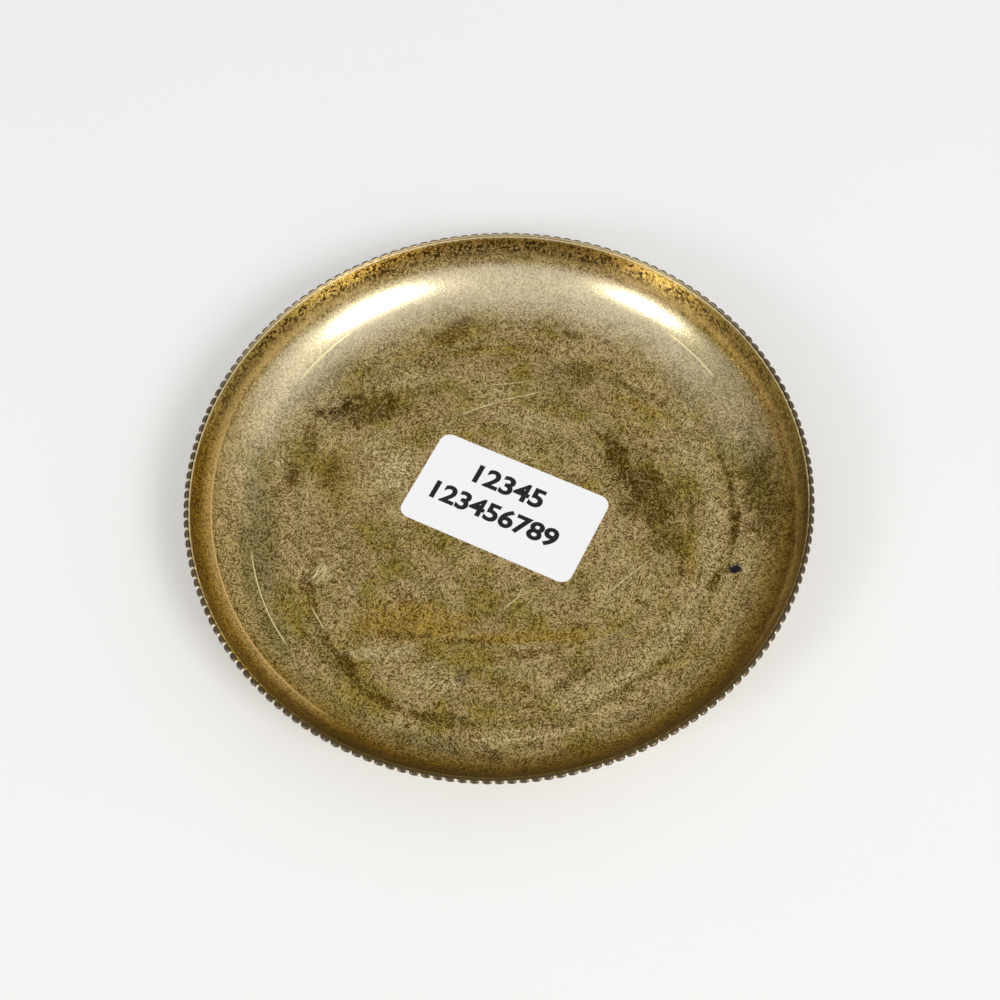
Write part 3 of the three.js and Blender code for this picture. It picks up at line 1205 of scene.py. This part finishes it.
# Print: its middle on the label, how much wider its digits are than the font's, and their boldness
# and depth in shares of the font's size
PRINT_MIDDLE_ALONG = -1.0 * MM
PRINT_MIDDLE_UP = 1.05 * MM
DIGIT_STRETCH = 1.16
DIGIT_BOLDNESS = 0.032
DIGIT_DEPTH = 0.002
DIGIT_CURVE_STEPS = 6
INK_BLACK = (0.004, 0.004, 0.005)
INK_GREY = (0.014, 0.014, 0.016)


def paper_finish(colours):
    """Matt white paper with faint fibres."""
    finish = Finish("label_paper")
    place = finish.millimetres()
    fibres = finish.noise(place, 3.0, 4, 0.7)
    cloud = finish.noise(place, 0.15, 2, 0.5, 8)
    shade = tuple(value * PAPER_SHADE for value in colours.paper)
    finish.set("Base Color", finish.layers(rgba(shade), (
        (finish.step(fibres, 0.35, 0.65), 1.0, colours.paper),
        (finish.step(cloud, 0.5, 0.8), 0.4, shade),
    )))
    finish.set("Roughness", finish.plus(0.6, finish.times(fibres, 0.2)))
    finish.set("Specular IOR Level", 0.3)
    finish.bump(fibres, FIBRE_DEPTH)
    return finish.material


def ink_finish():
    """Black printed ink, a little uneven."""
    finish = Finish("print_ink")
    grain = finish.noise(finish.millimetres(), 6.0, 2, 0.6)
    finish.set("Base Color", finish.mix(grain, rgba(INK_BLACK), rgba(INK_GREY)))
    finish.set("Roughness", finish.plus(0.5, finish.times(grain, 0.2)))
    finish.set("Specular IOR Level", 0.3)
    return finish.material


def label_outline(label, inset):
    """Rounded rectangle, moved in from the label's edge by inset."""
    corner = max(label.corner - inset, 0.0)
    x = label.length / 2 - inset - corner
    y = label.width / 2 - inset - corner
    points = []
    for quarter, (side_x, side_y) in enumerate(((x, y), (-x, y), (-x, -y), (x, -y))):
        for step in range(LABEL_CORNER_STEPS + 1):
            angle = math.pi / 2 * (quarter + step / LABEL_CORNER_STEPS)
            points.append((side_x + corner * math.cos(angle), side_y + corner * math.sin(angle)))
    return points


def label_shape(label, thickness):
    """Sheet of paper with softly cut edges, lying on z = 0."""
    shape = bmesh.new()
    edge = thickness * CUT_EDGE_SHARE
    insets = ((edge, 0.0), (0.0, edge), (0.0, thickness - edge), (edge, thickness))
    rings = []
    for inset, height in insets:
        rings.append([shape.verts.new((x, y, height)) for x, y in label_outline(label, inset)])
    bridge_rings(shape, rings, closed=False)
    shape.faces.new(rings[0])
    shape.faces.new(rings[-1])
    return shape


def printed_row(text, digit_height, centre, height_up):
    """Mesh of a row of numbers, lying flat, with its middle at centre."""
    curve = bpy.data.curves.new("row", "FONT")
    curve.body = text
    curve.align_x = "CENTER"
    curve.offset = DIGIT_BOLDNESS
    curve.extrude = DIGIT_DEPTH
    curve.resolution_u = DIGIT_CURVE_STEPS
    holder = bpy.data.objects.new("row", curve)
    bpy.context.scene.collection.objects.link(holder)
    bpy.context.view_layer.update()
    depsgraph = bpy.context.evaluated_depsgraph_get()
    mesh = bpy.data.meshes.new_from_object(holder.evaluated_get(depsgraph))
    bpy.data.objects.remove(holder)
    bpy.data.curves.remove(curve)
    across = [vertex.co.x for vertex in mesh.vertices]
    upward = [vertex.co.y for vertex in mesh.vertices]
    middle_x = (min(across) + max(across)) / 2
    middle_y = (min(upward) + max(upward)) / 2
    scale = digit_height / (max(upward) - min(upward))
    lift = DIGIT_DEPTH * scale + height_up
    move_in = Matrix.Translation((-middle_x, -middle_y, 0))
    grow = Matrix.Diagonal((scale * DIGIT_STRETCH, scale, scale, 1))
    mesh.transform(Matrix.Translation((*centre, lift)) @ grow @ move_in)
    return mesh


class TRINKETDISH_OT_label(Operator):
    """Make the paper label and the plain numbers printed on it"""

    bl_idname = "trinket_dish.label"
    bl_label = "Paper label"

    def execute(self, context):
        settings = context.scene.trinket_dish
        label = settings.label
        low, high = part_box("paper_label")
        middle = (low + high) / 2
        thickness = high.z - low.z
        lie = Matrix.Translation((middle.x, middle.y, low.z)) @ Matrix.Rotation(label.turn, 4, "Z")
        mesh = finished_mesh("label", label_shape(label, thickness), LABEL_SHARP_ANGLE)
        mesh.transform(lie)
        add_piece("label", mesh, paper_finish(settings.finish), "paper_label")
        ink = ink_finish()
        for number, text in enumerate((label.first_row, label.second_row)):
            up = PRINT_MIDDLE_UP + label.row_spacing * (0.5 - number)
            row = printed_row(text, label.digit_height, (PRINT_MIDDLE_ALONG, up), thickness)
            row.transform(lie)
            add_piece(f"print_row_{number + 1}", row, ink)
        return {"FINISHED"}


# The stage

TABLE_HALF_WIDTH = 2.0
TABLE_SHADE = (0.945, 0.938, 0.93)
TABLE_PALE = (0.96, 0.953, 0.945)
SENSOR_WIDTH = 36
ROOM_COLOUR = (1.0, 0.995, 0.985)

# Softboxes: azimuth and elevation (degrees) and width, all at one distance from the dish
LAMP_DISTANCE = 2.0
RIGHT_SOFTBOX = (-50, 39, 0.70)
LEFT_SOFTBOX = (214, 29, 0.54)


def table_finish():
    """Plain pale table top."""
    finish = Finish("table")
    cloud = finish.noise(finish.millimetres(), 0.01, 2, 0.5)
    finish.set("Base Color", finish.mix(cloud, rgba(TABLE_SHADE), rgba(TABLE_PALE)))
    finish.set("Roughness", 0.55)
    finish.set("Specular IOR Level", 0.25)
    return finish.material


def add_table():
    shape = bmesh.new()
    bmesh.ops.create_grid(shape, x_segments=1, y_segments=1, size=TABLE_HALF_WIDTH)
    mesh = finished_mesh("table", shape)
    mesh.materials.append(table_finish())
    table = bpy.data.objects.new("table", mesh)
    bpy.context.scene.collection.objects.link(table)


def add_softbox(name, power, azimuth, elevation, width):
    """A square soft lamp that faces the dish from this direction, in degrees."""
    lamp = bpy.data.lights.new(name, "AREA")
    lamp.shape = "SQUARE"
    lamp.size = width
    lamp.energy = power
    holder = bpy.data.objects.new(name, lamp)
    turn = math.radians(azimuth)
    rise = math.radians(elevation)
    level = math.cos(rise)
    towards = Vector((level * math.cos(turn), level * math.sin(turn), math.sin(rise)))
    holder.location = towards * LAMP_DISTANCE
    holder.rotation_euler = towards.to_track_quat("Z", "Y").to_euler()
    bpy.context.scene.collection.objects.link(holder)


def add_world(strength):
    """Pale room, brighter overhead, on the right, on the camera's side and low down behind the dish."""
    world = bpy.data.worlds.new("room")
    bpy.context.scene.world = world
    world.use_nodes = True
    room = Nodes(world.node_tree)
    background = room.tree.nodes["Background"]
    right, far, up = room.split(room.node("TexCoord").outputs["Generated"])
    overhead = room.times(room.step(up, 0.15, 0.8), 0.45 * strength)
    front = room.times(room.step(far, -0.2, -0.95), 0.3 * strength)
    behind = room.times(room.step(far, 0.3, 0.9), room.step(up, 0.7, 0.35), 0.18 * strength)
    aside = room.times(room.step(right, 0.25, 0.9), 0.4 * strength)
    level = 0.6 * strength
    for share in (overhead, front, behind, aside):
        level = room.plus(share, level)
    room.feed(background.inputs["Strength"], level)
    background.inputs["Color"].default_value = rgba(ROOM_COLOUR)


def add_camera(stage):
    lens = bpy.data.cameras.new("camera")
    lens.lens = stage.camera_lens
    lens.sensor_width = SENSOR_WIDTH
    camera = bpy.data.objects.new("camera", lens)
    back = Vector((0, -math.cos(stage.camera_elevation), math.sin(stage.camera_elevation)))
    level = Matrix.Rotation(math.pi / 2 - stage.camera_elevation, 4, "X")
    roll = Matrix.Rotation(-stage.camera_roll, 4, "Z")
    place = Matrix.Translation(Vector(stage.camera_aim) + back * stage.camera_distance)
    camera.matrix_world = place @ level @ roll
    bpy.context.scene.collection.objects.link(camera)
    bpy.context.scene.camera = camera


class TRINKETDISH_OT_stage(Operator):
    """Make the table, the softboxes, the room and the camera"""

    bl_idname = "trinket_dish.stage"
    bl_label = "Stage"

    def execute(self, context):
        stage = context.scene.trinket_dish.stage
        context.scene.view_settings.view_transform = "Standard"
        add_table()
        add_softbox("softbox_right", stage.right_power, *RIGHT_SOFTBOX)
        add_softbox("softbox_left", stage.left_power, *LEFT_SOFTBOX)
        add_world(stage.world_strength)
        add_camera(stage)
        return {"FINISHED"}


class TRINKETDISH_PT_parts(Panel):
    """Lists the pieces of the dish and its stage"""

    bl_idname = "TRINKETDISH_PT_parts"
    bl_label = "Trinket dish"
    bl_space_type = "VIEW_3D"
    bl_region_type = "UI"
    bl_category = "Dish"

    def draw(self, context):
        for maker in OPERATORS:
            self.layout.operator(maker.bl_idname)


OPERATORS = (
    TRINKETDISH_OT_bowl,
    TRINKETDISH_OT_border,
    TRINKETDISH_OT_solder,
    TRINKETDISH_OT_label,
    TRINKETDISH_OT_stage,
)
SETTINGS = (
    BowlSettings,
    BorderSettings,
    LabelSettings,
    FinishSettings,
    StageSettings,
    TrinketDishSettings,
)


def register():
    for made in (*SETTINGS, *OPERATORS, TRINKETDISH_PT_parts):
        bpy.utils.register_class(made)
    bpy.types.Scene.trinket_dish = PointerProperty(type=TrinketDishSettings)


def unregister():
    del bpy.types.Scene.trinket_dish
    for made in reversed((*SETTINGS, *OPERATORS, TRINKETDISH_PT_parts)):
        bpy.utils.unregister_class(made)


def main():
    register()
    bpy.ops.trinket_dish.bowl()
    bpy.ops.trinket_dish.border()
    bpy.ops.trinket_dish.solder()
    bpy.ops.trinket_dish.label()
    bpy.ops.trinket_dish.stage()


if __name__ == "__main__":
    main()
